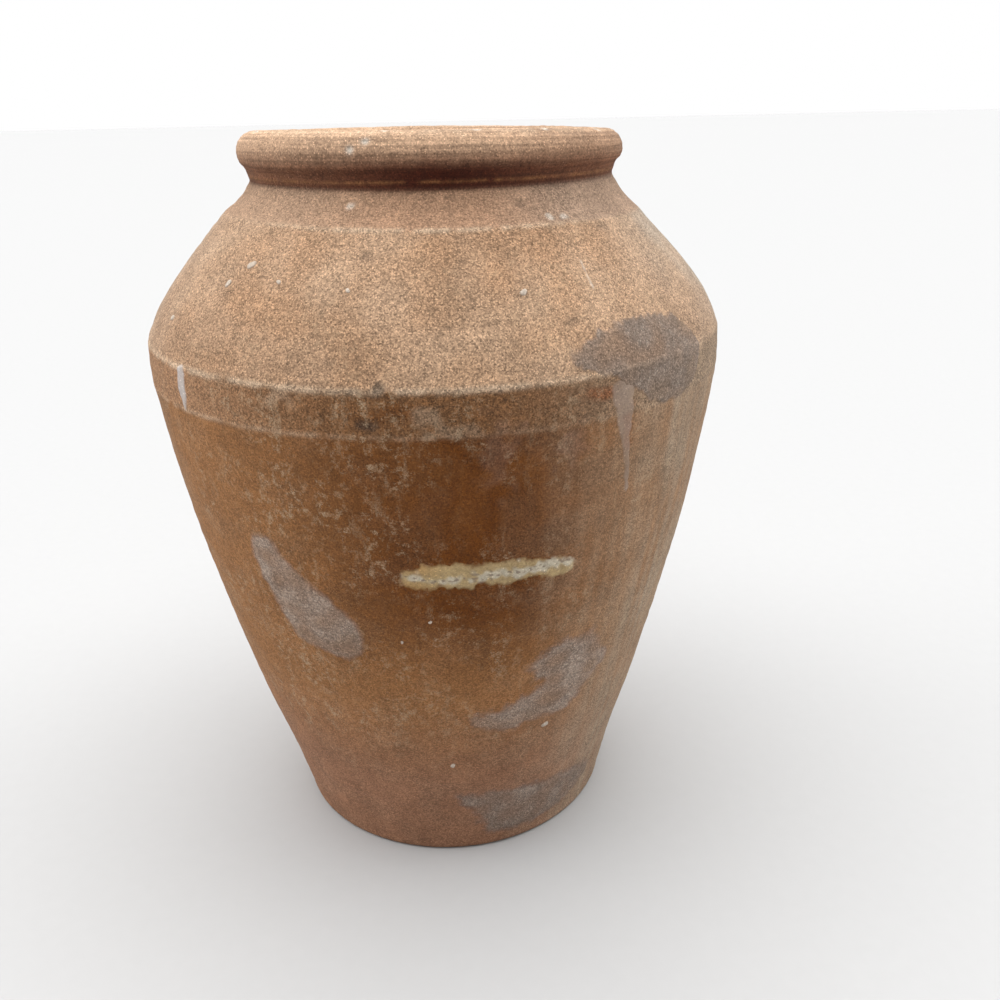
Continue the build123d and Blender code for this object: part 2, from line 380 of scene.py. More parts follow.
class Line:
    """A line of radius and height points, with its length and outward directions."""

    def __init__(self, parts):
        points = np.vstack(parts)
        gaps = np.linalg.norm(np.diff(points, axis=0), axis=1)
        self.points = points[np.concatenate([[True], gaps > DENSE_STEP / 50])]
        gaps = np.linalg.norm(np.diff(self.points, axis=0), axis=1)
        self.along = np.concatenate([[0], np.cumsum(gaps)])
        self.length = self.along[-1]
        tangent = np.gradient(self.points, self.along, axis=0)
        tangent /= np.linalg.norm(tangent, axis=1)[:, None]
        self.normals = np.column_stack([tangent[:, 1], -tangent[:, 0]])

    def at(self, place, values=None):
        """Points, or other values kept per point, at lengths along the line."""
        values = self.points if values is None else values
        return np.stack([np.interp(place, self.along, values[:, k]) for k in (0, 1)], axis=-1)

    def seat_places(self, height):
        """Where a seat that starts outside at a height starts and ends."""
        outer = np.interp(height, self.points[:BODY_POINTS, 1], self.along[:BODY_POINTS])
        radius = self.at(outer)[0]
        level = self.points[:, 1] - height - SEAT_SLOPE * (radius - self.points[:, 0])
        crossings = np.nonzero(level[:-1] * level[1:] <= 0)[0]
        return outer, self.along[crossings[-1]]


def jar_line():
    """The whole outline: up the outside, over the rim, down the inside and out under the foot."""
    body = smooth_line(np.array(BODY_LINE) * MM)
    roll_centre = np.array([RIM_RADIUS - ROLL_RADIUS, HEIGHT - ROLL_RADIUS])
    lip_radius = roll_centre[0] - THROAT_RADIUS
    tuck = roll_centre + ROLL_RADIUS * np.array([cos(LIP_TUCK), -sin(LIP_TUCK)])
    under = smooth_line([body[-1], (body[-1] + tuck) / 2 + TUCK_SWING, tuck])
    roll = arc(roll_centre, ROLL_RADIUS, -LIP_TUCK, pi / 2)
    lip = arc((roll_centre[0], HEIGHT - lip_radius), lip_radius, pi / 2, pi)
    throat = straight(lip[-1], (THROAT_RADIUS, THROAT_FOOT))
    outside = Line([body, under, roll, lip, throat])

    places = np.interp(np.array(INNER_PLACES) * MM, body[:, 1], outside.along[:len(body)])
    wall = outside.at(places) - WALL * outside.at(places, outside.normals)
    down = smooth_line([throat[-1], *wall, *(np.array(FLOOR_CORNER) * MM)])
    floor = straight(down[-1], (DRAIN_RADIUS + DRAIN_EDGE, FLOOR_TOP))
    edge = arc((DRAIN_RADIUS + DRAIN_EDGE, FLOOR_TOP - DRAIN_EDGE), DRAIN_EDGE, pi / 2, pi)
    hole = straight(edge[-1], (DRAIN_RADIUS, DISH_DEPTH + DRAIN_EDGE))
    foot_edge = arc((DRAIN_RADIUS + DRAIN_EDGE, DISH_DEPTH + DRAIN_EDGE), DRAIN_EDGE, pi, 3 * pi / 2)
    dish = smooth_line([foot_edge[-1], (DISH_RADIUS - DISH_SLOPE, DISH_DEPTH), (DISH_RADIUS, 0)])
    flat = straight(dish[-1], (FOOT_FLAT, 0))
    inner = [down, floor, edge, hole, foot_edge, dish, flat]
    return Line([outside.points, *inner]), outside.length, len(body)


LINE, THROAT_PLACE, BODY_POINTS = jar_line()
CREASE_PLACE = LINE.seat_places(CREASE)[0]
CREST_PLACE = CREASE_PLACE + CREST_ABOVE_CREASE


def place_at(height):
    """The place on the outside at a height below the rim."""
    return np.interp(height, LINE.points[:BODY_POINTS, 1], LINE.along[:BODY_POINTS])


def relief(around, place):
    """How far the surface stands out from the smooth outline."""
    height = LINE.at(place)[..., 1]
    outside = smoothstep(0, 8 * MM, height) * (1 - smoothstep(THROAT_PLACE - 20 * MM, THROAT_PLACE, place))
    below_rim = 1 - smoothstep(CREASE_PLACE - 4 * MM, CREASE_PLACE + 4 * MM, place)
    inside = smoothstep(THROAT_PLACE, THROAT_PLACE + 25 * MM, place)
    inside = inside * smoothstep(FLOOR_TOP - 1 * MM, FLOOR_TOP + 12 * MM, height)

    wobble = WOBBLE * ripple(around, place, seed=1, wave=WOBBLE_WAVE)
    lumps = LUMPS * ripple(around, place, seed=2, wave=LUMPS_WAVE)
    dents = DENTS * ripple(around, place, seed=3, wave=DENTS_WAVE, count=60)
    worn = 0.6 + 0.4 * np.tanh(ripple(around, place, seed=4, wave=WEAR_WAVE))
    thrown = THROWN * worn * rings(around, place, seed=5, wave=THROWN_WAVE)
    fingers = FINGERS * rings(around, place, seed=10, wave=FINGERS_WAVE, count=10)

    skin = (wobble + lumps) * (0.5 + 0.5 * below_rim)
    marks = (dents + thrown + ridges(around, height)) * below_rim
    return outside * (skin + marks + rim_marks(around, place)) + inside * (fingers + 2 * lumps)


def ridges(around, height):
    """The ridge of the shoulder, the lines below and above it, and the hollow of the band."""
    drift = wander(around, seed=6, most_turns=9)
    ridge = (RIDGE_RISE + RIDGE_CHANGE * drift + RIDGE_CHANGE * wander(around, seed=7, most_turns=70)) * MM
    ridge = ridge * (1 - 0.6 * sideways(degrees_from_front(around), 28, 55, 120, 150))
    marks = ridge * hump(height, RIDGE + 0.5 * MM * drift, RIDGE_WIDTH)
    marks = marks + 0.6 * ridge * hump(height, BAND_FOOT + 0.8 * MM * drift, BAND_LINE_WIDTH)
    marks = marks + 0.7 * ridge * hump(height, COLLAR_LINE + 0.3 * MM * drift, COLLAR_WIDTH)
    hollow = smoothstep(BAND_FOOT, BAND_FOOT + BAND_EDGE, height)
    hollow = hollow * (1 - smoothstep(RIDGE - BAND_EDGE, RIDGE, height))
    return marks - BAND_HOLLOW * hollow


def rim_marks(around, place):
    """The combed lines, the bead over the crease and the chips of the rim."""
    on_rim = smoothstep(CREASE_PLACE, CREASE_PLACE + 6 * MM, place)
    combed = COMBED * rings(around, place, seed=8, wave=COMBED_WAVE, count=12)
    rim = on_rim * (combed + RIM_LUMPS * ripple(around, place, seed=9, wave=RIM_LUMPS_WAVE))
    rim = rim + BEAD_RISE * hump(place, CREASE_PLACE + BEAD_OFFSET, BEAD_WIDTH)
    for angle, from_crest, width, depth in RIM_CHIPS:
        rim = rim - depth * MM * chip(around, place, angle, from_crest, width)
    return rim


def chip(around, place, angle, from_crest, width):
    """How far a place is inside a chip of the rim, from 0 to 1."""
    away = hump(degrees_from_front(around - radians(angle)), 0, width)
    return away * hump(place, CREST_PLACE + from_crest * MM, CHIP_HEIGHT)


def clay_points(around, place, lift=0.0):
    """Points on the handmade surface, or a little above it, in the row frame."""
    flat = LINE.at(place)
    out = LINE.at(place, LINE.normals)
    stand = relief(around, place) + lift
    radius = flat[..., 0] + stand * out[..., 0]
    height = flat[..., 1] + stand * out[..., 1]
    return leaned(radius * np.sin(around), -radius * np.cos(around), height + 0 * around)


def leaned(x, y, z):
    """Points with the pot's lean, its rim's tilt and the rise of its lip in front."""
    high = smoothstep(TILT_FROM, TILT_FULL, z)
    tilted = z + high * (RIM_TILT[0] * x + RIM_TILT[1] * y)
    tilted = tilted + hump(z, CREASE, CREASE_REACH) * (CREASE_LIFT + CREASE_TILT * x)
    lip = smoothstep(CREASE + 6 * MM, HEIGHT - 4 * MM, z)
    tilted = tilted + lip * LIP_RISE * np.clip(-y / RIM_RADIUS, 0, 1)
    return np.stack([x + LEAN[0] * z + high * RIM_SHIFT, y + LEAN[1] * z, tilted], axis=-1)


def layered(base, *layers):
    """Colours laid over one another, each layer as its cover and its colour."""
    tone = np.array(base, float)
    for cover, colour in layers:
        cover = np.clip(cover, 0, 1)[..., None]
        tone = tone * (1 - cover) + np.asarray(colour) * cover
    return tone


def body_tone(front, height, cloud, patch, streak):
    """The brown body, burnt in front and dusty on its sides."""
    burn = hump(front, 3, np.where(front < 3, 29, 30)) * smoothstep(140 * MM, 250 * MM, height)
    behind = hump((front + 15) % 360 - 180, 0, 40) * smoothstep(90 * MM, 200 * MM, height)
    burn = (burn + 0.7 * behind) * (1 + 0.16 * cloud + 0.10 * patch)
    right = sideways(front, 5, 54)
    left = 0.5 * sideways(-front, 50, 85)
    dust = (right + left) * (0.82 + 0.15 * cloud + 0.11 * streak) + 0.08 * patch
    low = 1 - smoothstep(60 * MM, 180 * MM, height)
    tone = layered(BROWN, (low, LOW_BROWN), (burn, BURNT), (0.85 * dust, DUST))
    band = layered(BAND_BROWN, (sideways(-front, 12, 52), BAND_LEFT), (0.8 * right, DUST))
    return tone, band, dust


def rim_tone(front, place, fleck):
    """The rim's clay, with a pale crest and a dark underside that is partly soot and partly painted shade.
    """
    tone = layered(RIM_CLAY, (sideways(front, 5, 50), RIM_RIGHT))
    # Painted shade under the roll, partly soot: a red-brown band, darker still and strongest in front
    under = smoothstep(CREASE_PLACE - 1 * MM, CREASE_PLACE + 1 * MM, place)
    ragged = place + 0.25 * MM * fleck
    under = under * (1 - smoothstep(CREASE_PLACE + 8 * MM, CREASE_PLACE + 24 * MM, ragged))
    sooty_shade = under * (0.2 + 0.8 * hump(front, 2, 38))
    # A lighter line along the bead over the crease: painted highlight on the raised bead
    bead = 0.45 * hump(place, CREASE_PLACE + BEAD_OFFSET, 1.1 * MM) * (0.7 + 0.3 * fleck)
    crest = hump(place, CREST_PLACE - 3 * MM, 7 * MM) * (0.55 + 0.15 * fleck)
    return layered(tone, (0.85 * under, RED_BROWN), (sooty_shade, SHADE_AND_SOOT), (bead, BROWN), (crest, PALE_CLAY))


def shoulder_tone(front, cloud, patch):
    """The shoulder's salmon clay, greyer on its far sides."""
    far_sides = sideways(front + 6 * cloud, 38, 92) * (0.75 + 0.25 * patch) + 0.3 * hump(front, -85, 25)
    pale = 0.2 + 0.2 * cloud
    brown = 0.12 + 0.12 * patch
    return layered(SALMON, (pale, PALE_CLAY), (brown, BROWN), (far_sides, PALE_GREY))


def neck_tone(front):
    """The smooth neck, paler on the left and greyer on the right."""
    left, right = sideways(-front, 5, 45), sideways(front, 8, 40)
    return layered(NECK_FRONT, (left, NECK_LEFT), (right, NECK_RIGHT))


def pale_lines(height, front, blur):
    """How pale the ridge and the lines below and above it are: partly wear and partly painted highlight on
    these raised lines.
    """
    ridge = 1.15 * hump(height, RIDGE + 0.2 * MM, 1.9 * MM) / blur ** 0.5
    band_foot = 0.55 * hump(height, BAND_FOOT, 1.7 * MM) * (0.35 + 0.65 * hump(front, -45, 35))
    collar = 1.4 * hump(height, COLLAR_LINE, 1.2 * MM) * hump(front, -5, 48)
    return ridge + band_foot + collar


def spotted(tone, around, place, height, fleck):
    """The clay's colour with the smudges and the pale chips of the rim."""
    for angle, level, wide, tall, cover, colour in SMUDGES:
        away = degrees_from_front(around - radians(angle))
        spot = hump(away, 0, wide) * hump(height, level * MM, tall * MM)
        spot = smoothstep(0.15, 0.85, spot + 0.2 * fleck * (spot > 0.05)) * cover * (place < THROAT_PLACE)
        tone = layered(tone, (spot, colour))
    for angle, from_crest, width, _ in RIM_CHIPS:
        tone = layered(tone, (1.3 * chip(around, place, angle, from_crest, width), CHALK))
    return tone


def clay_coat(around, place):
    """Colour and marks of the clay at places on it."""
    around = around + 0 * place
    place = place + 0 * around
    height = LINE.at(place)[..., 1]
    front = degrees_from_front(around)
    cloud = np.tanh(ripple(around, place, seed=21, wave=100 * MM))
    patch = np.tanh(ripple(around, place, seed=22, wave=30 * MM))
    fleck = ripple(around, place, seed=23, wave=9 * MM, count=60)
    streak = streaks(around, place, seed=24)

    blur = 1 + 6 * sideways(front, 35, 60, 120, 150)
    above = smoothstep(RIDGE - 1.2 * MM * blur, RIDGE + 1.2 * MM * blur, height + 0.25 * MM * fleck)
    in_band = smoothstep(BAND_FOOT - 2 * MM, BAND_FOOT + 2 * MM, height + 0.8 * MM * fleck)
    neck = smoothstep(COLLAR_LINE - 1 * MM, COLLAR_LINE + 1 * MM, height)
    on_rim = smoothstep(CREASE_PLACE - 1 * MM, CREASE_PLACE + 1 * MM, place)
    inside = smoothstep(THROAT_PLACE - 20 * MM, THROAT_PLACE + 10 * MM, place)

    body, band, dust = body_tone(front, height, cloud, patch, streak)
    tone = layered(
        body, (in_band, band), (above, shoulder_tone(front, cloud, patch)), (neck, neck_tone(front)),
        (on_rim, rim_tone(front, place, fleck)),
        (inside, layered(INSIDE_CLAY, (0.2 + 0.2 * cloud, DUST))),
    )
    outside = (place < CREASE_PLACE) * np.clip(0.7 + 0.25 * fleck + 0.2 * patch, 0, 1)
    # Painted shadow along the crease under the rim, darker in front
    crease = hump(place, CREASE_PLACE - 0.3 * MM, 1.5 * MM) * (0.5 + 0.45 * hump(front, 5, 45))
    # Pale lines on the ridges are partly wear and partly painted highlight
    tone = layered(tone, (pale_lines(height, front, blur) * outside, PALE_CLAY), (crease, SHADE_AND_SOOT))

    rough_zones = np.maximum(above, in_band)
    smooth_neck = neck * (1 - on_rim)
    dusted = (0.38 + 0.5 * hump(front, -32, 28) + 0.3 * dust) * (1 + 0.25 * streak)
    dusted = (1 - above) * dusted * smoothstep(40 * MM, 170 * MM, height) + 0.35 * above * (1 - neck)
    return {
        "tone": spotted(tone, around, place, height, fleck),
        "grit": np.clip(0.35 + 0.65 * rough_zones - 0.5 * smooth_neck + 0.12 * patch, 0, 1),
        "scratched": sideways(front, 2, 7, 24, 32) * hump(height, 340 * MM, 22 * MM),
        "pitted": hump(height, 372 * MM, 16 * MM) * hump(front, 0, 26) * (place < CREASE_PLACE),
        "dusted": dusted * (1 - on_rim),
        "turned": 0.12 + 0.88 * on_rim,
        "along": place,
    }


def mesh_of(name, points, faces):
    """A smooth-shaded mesh from points and four-cornered faces."""
    mesh = bpy.data.meshes.new(name)
    mesh.vertices.add(len(points))
    mesh.vertices.foreach_set("co", points.astype(np.float32).ravel())
    mesh.loops.add(faces.size)
    mesh.loops.foreach_set("vertex_index", faces.astype(np.int32).ravel())
    mesh.polygons.add(len(faces))
    mesh.polygons.foreach_set("loop_start", np.arange(0, faces.size, 4, dtype=np.int32))
    mesh.update(calc_edges=True)
    mesh.polygons.foreach_set("use_smooth", np.ones(len(faces), bool))
    return mesh


def sharpen(mesh, sharp_rings):
    """Makes the edges along some of the mesh's rings sharp."""
    ends = np.empty(2 * len(mesh.edges), np.int32)
    mesh.edges.foreach_get("vertices", ends)
    ring_of = ends.reshape(-1, 2) // COLUMNS
    on_ring = (ring_of[:, 0] == ring_of[:, 1]) & np.isin(ring_of[:, 0], sharp_rings)
    mesh.attributes.new("sharp_edge", "BOOLEAN", "EDGE").data.foreach_set("value", on_ring)


def keep_coat(mesh, coat):
    """Keeps the coat's colours and values at the points of the mesh."""
    for key, values in coat.items():
        if values.ndim == 2:
            colour = np.column_stack([values, np.ones(len(values))]).astype(np.float32)
            mesh.attributes.new(key, "FLOAT_COLOR", "POINT").data.foreach_set("color", colour.ravel())
        else:
            mesh.attributes.new(key, "FLOAT", "POINT").data.foreach_set("value", values.astype(np.float32))


def solid(name, points, faces, coat, slot_name, sharp_rings=()):
    """A piece from points, faces and its coat, in the place of its CAD node."""
    mesh = mesh_of(name, points, faces)
    if len(sharp_rings):
        sharpen(mesh, sharp_rings)
    keep_coat(mesh, coat)
    mesh.validate()
    mesh.materials.append(MATERIALS[slot_name])
    ending = "_clay" if slot_name.startswith("terracotta") else "_film"
    piece = bpy.data.objects.new(name + ending, mesh)
    bpy.context.scene.collection.objects.link(piece)
    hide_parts(name)
    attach(piece, "root")


def grid_faces(rows, columns, closed):
    """Faces between rings of points. When closed, the last ring meets the first."""
    row, column = np.meshgrid(np.arange(rows if closed else rows - 1), np.arange(columns), indexing="ij")
    next_row, next_column = (row + 1) % rows, (column + 1) % columns
    corners = [(row, column), (row, next_column), (next_row, next_column), (next_row, column)]
    return np.stack([a * columns + b for a, b in corners], axis=-1).reshape(-1, 4)


def row_gap(place):
    """How far apart two rows of the mesh are at a place."""
    height = LINE.at(place)[1]
    if place > THROAT_PLACE:
        return INNER_ROW if height > FLOOR_TOP + NEAR_FLOOR else FLOOR_ROW
    if place > CREASE_PLACE - NEAR_RIM:
        return RIM_ROW
    near = min(abs(height - mark) for mark in (RIDGE, BAND_FOOT, COLLAR_LINE, 0))
    return RIDGE_ROW if near < NEAR_RIDGE else WALL_ROW


def rows_between(start, end):
    """Places of mesh rows from one place to another, denser where the shape is finer."""
    places = [start]
    while places[-1] < end:
        places.append(places[-1] + row_gap(places[-1]))
    places = np.array(places)
    return start + (places - start) * (end - start) / (places[-1] - start)


def stretches_between(low, high):
    """Rows of a section up its outside and down its inside, or all the way round."""
    low_out, low_in = LINE.seat_places(low) if low else (0.0, LINE.length)
    if high:
        high_out, high_in = LINE.seat_places(high)
        stretches = [rows_between(low_out, high_out), rows_between(high_in, low_in)]
    else:
        stretches = [rows_between(low_out, low_in)]
    if not low:
        stretches[-1] = stretches[-1][:-1]
    return stretches


def clay_section(name, slot_name, low, high):
    """One thrown section between two seats, or from or to the outline's own end."""
    around = np.linspace(0, 2 * pi, COLUMNS, endpoint=False)[None, :]
    stretches = stretches_between(low, high)
    surfaces, places, sharp = [], [], []
    for index, stretch in enumerate(stretches):
        surface = clay_points(around, stretch[:, None])
        if index:
            seat_rings(surfaces, places, surface[0], stretch[0])
        sharp.append(sum(len(part) for part in surfaces))
        surfaces.append(surface)
        places.append(stretch)
        sharp.append(sum(len(part) for part in surfaces) - 1)
    if low:
        seat_rings(surfaces, places, surfaces[0][0], stretches[0][0])
    points = np.vstack(surfaces)
    coat = clay_coat(around, np.concatenate(places)[:, None])
    coat = {key: flattened(values) for key, values in coat.items()}
    solid(name, points.reshape(-1, 3), grid_faces(len(points), COLUMNS, closed=True), coat, slot_name, sharp)


def flattened(values):
    """Values on a grid of points, as one value or colour after another."""
    return values.reshape(-1, *values.shape[2:])


def seat_rings(surfaces, places, target, target_place):
    """Adds rings across a seat, from the last ring towards the target ring."""
    start, start_place = surfaces[-1][-1], places[-1][-1]
    shares = np.array(SEAT_SHARES)
    surfaces.append(start + (target - start) * shares[:, None, None])
    places.append(np.where(shares < 0.5, start_place, target_place))


def waves(x, y, seed, shortest, count=28):
    """A smooth random field of about unit spread over a flat patch."""
    dice = np.random.default_rng(seed)
    total = np.zeros(np.broadcast(x, y).shape)
    for _ in range(count):
        heading = dice.uniform(0, 2 * pi)
        rate = 2 * pi * dice.uniform(0.25, 1.0) / shortest
        phase = dice.uniform(0, 2 * pi)
        total = total + np.cos(rate * (x * cos(heading) + y * sin(heading)) + phase)
    return total / np.sqrt(count / 2)


def rounded(corners):
    """A closed outline through corners, with its turns rounded."""
    ring = np.array(corners, float) * MM
    for _ in range(2):
        following = np.roll(ring, -1, axis=0)
        pairs = [0.75 * ring + 0.25 * following, 0.25 * ring + 0.75 * following]
        ring = np.stack(pairs, axis=1).reshape(-1, 2)
    return ring


def depth_inside(x, y, ring):
    """Distance from the outline, positive inside it."""
    start, end = ring, np.roll(ring, -1, axis=0)
    spot = np.stack([x, y], axis=-1).reshape(-1, 1, 2)
    side = end - start
    share = np.clip(((spot - start) * side).sum(-1) / (side * side).sum(-1), 0, 1)
    gap = np.linalg.norm(spot - start - share[..., None] * side, axis=-1).min(axis=1)
    level = spot[..., 1]
    crosses = (start[:, 1] > level) != (end[:, 1] > level)
    reach = start[:, 0] + (level - start[:, 1]) * side[:, 0] / np.where(side[:, 1] == 0, 1, side[:, 1])
    inside = (crosses & (spot[..., 0] < reach)).sum(axis=1) % 2 == 1
    return np.where(inside, gap, -gap).reshape(x.shape)


def film(angle, corners, seed, thickness, step, ragged, soft, bumps, paint_film):
    """One thin ragged film on the clay, as points, faces and coat."""
    ring = rounded(corners)
    low, high = ring.min(axis=0) - 4 * ragged, ring.max(axis=0) + 4 * ragged
    x, y = np.meshgrid(np.arange(low[0], high[0], step), np.arange(low[1], high[1], step))
    frayed = waves(x, y, seed, 9 * MM) + 0.5 * waves(x, y, seed + 1, 3 * MM)
    depth = depth_inside(x, y, ring) + ragged * frayed
    place = place_at(y)
    around = radians(angle) + np.arcsin(x / LINE.at(place)[..., 0])
    cover = smoothstep(-0.3 * soft, soft, depth)
    rough = 1 + bumps * waves(x, y, seed + 2, 3.5 * MM)
    top = clay_points(around, place, thickness * cover * rough - SINK)
    bottom = clay_points(around, place, -BURIED)
    coat = paint_film(x, y, cover, clay_coat(around, place), seed)

    used, faces = np.unique(sheet_faces(depth > -0.6 * soft), return_inverse=True)
    points = np.concatenate([flattened(top), flattened(bottom)])[used]
    coat = {key: np.concatenate([flattened(values)] * 2)[used] for key, values in coat.items()}
    return points, faces.reshape(-1, 4), coat


def sheet_faces(keep):
    """Top, bottom and edge faces of a closed sheet over the kept points of a grid."""
    cells = keep[:-1, :-1] | keep[1:, :-1] | keep[:-1, 1:] | keep[1:, 1:]
    row, column = np.nonzero(cells)
    count, wide = keep.size, keep.shape[1]
    first = row * wide + column
    top = np.stack([first, first + 1, first + wide + 1, first + wide], axis=1)
    edges = np.concatenate([top[:, [k, (k + 1) % 4]] for k in range(4)])
    codes, back = edges[:, 0] * count + edges[:, 1], edges[:, 1] * count + edges[:, 0]
    rim = edges[~np.isin(back, codes)]
    walls = np.stack([rim[:, 1], rim[:, 0], rim[:, 0] + count, rim[:, 1] + count], axis=1)
    return np.concatenate([top, top[:, ::-1] + count, walls])


def together(shapes):
    """Several shapes as one."""
    points, faces, first = [], [], 0
    for shape in shapes:
        points.append(shape[0])
        faces.append(shape[1] + first)
        first += len(shape[0])
    coat = {key: np.concatenate([shape[2][key] for shape in shapes]) for key in shapes[0][2]}
    return np.concatenate(points), np.concatenate(faces), coat


def painted(clay, cover, tone, grit):
    """The clay's coat with a film's colour and grit over it."""
    cover = np.clip(cover, 0, 1)
    blended = clay["tone"] * (1 - cover[..., None]) + tone * cover[..., None]
    bare = {key: clay[key] * (1 - cover) for key in ("scratched", "pitted", "dusted", "turned")}
    mixed_grit = clay["grit"] * (1 - cover) + grit * cover
    return {"tone": blended, "grit": mixed_grit, "along": clay["along"], **bare}


def mortar_paint(x, y, cover, clay, seed, shade):
    """Grey mortar: a mauve border, a paler middle and gritty whitish spots."""
    cloud = waves(x, y, seed + 5, 16 * MM)
    spots = smoothstep(0.6, 1.5, waves(x, y, seed + 6, 2.6 * MM)) * (0.5 + 0.4 * np.tanh(cloud))
    edge = 1 - smoothstep(0.35, 0.95, cover)
    tone = layered(MORTAR, (0.3 + 0.25 * cloud, PALE_MORTAR))
    tone = layered(tone, (0.25 * spots, CHALK), (0.6 * edge, MAUVE))
    thin = smoothstep(0.1, 1, cover) * np.clip(0.84 + 0.10 * cloud, 0, 0.94)
    return painted(clay, thin, shade * tone, 1)


def adhesive_paint(x, y, cover, clay, seed):
    """Dried adhesive: yellow with a whitish porous middle."""
    middle = hump(y, 260.5 * MM + 1.2 * MM * waves(x, 0 * y, seed + 5, 40 * MM), 4.0 * MM)
    pale = smoothstep(0.3, 1.1, middle + 0.25 * waves(x, y, seed + 6, 5 * MM) + 5 * x)
    pores = smoothstep(0.5, 1.3, waves(0.6 * x, y, seed + 7, 2.0 * MM)) * middle
    tone = layered(YELLOW, (pale, CREAM), (0.75 * pores, MORTAR))
    tone = layered(tone, (0.5 * hump(x, -45 * MM, 12 * MM) * (1 - middle), ORANGE))
    return painted(clay, 0.95 * smoothstep(0.05, 0.9, cover), tone, 0.4)


def lime_paint(x, y, cover, clay, seed):
    """Chalky white lime, thinner towards its edges."""
    tone = np.array(CHALK) * (1 + 0.08 * waves(x, y, seed + 5, 3 * MM))[..., None]
    return painted(clay, 0.9 * smoothstep(0.1, 0.9, cover), tone, 0.2)


def wash_paint(x, y, cover, clay, seed, most, colour):
    """A thin wash of lime that lets the clay show."""
    cloud = waves(x, y, seed + 5, 12 * MM)
    return painted(clay, (most + 0.06 * cloud) * smoothstep(0.05, 0.95, cover), np.array(colour), 0.4)


def speck(angle, share, radius, seed):
    """One flat chip of lime, as points, faces and coat."""
    low, high = place_at(SPECK_FOOT), place_at(CREASE)
    turn = np.linspace(0, 2 * pi, SPECK_SIDES, endpoint=False)
    dice = np.random.default_rng(seed)
    uneven = 0.20 * np.cos(2 * turn + dice.uniform(0, 6)) + 0.08 * np.cos(3 * turn + dice.uniform(0, 6))
    edge = radius * MM * (1 + uneven)
    reach, lift = np.array(SPECK_RINGS).T[:, :, None]
    middle = low + share * (high - low)
    place = middle + reach * edge * np.sin(turn)
    around = radians(angle) + reach * edge * np.cos(turn) / LINE.at(middle)[0]
    points = clay_points(around, place, lift * SPECK_HEIGHT)
    cover = np.clip(2 - 1.6 * reach, 0, 1)
    coat = lime_paint(around, place, cover, clay_coat(around, place), seed)
    faces = grid_faces(*place.shape, closed=False)[:, ::-1]
    return points.reshape(-1, 3), faces, {key: flattened(values) for key, values in coat.items()}


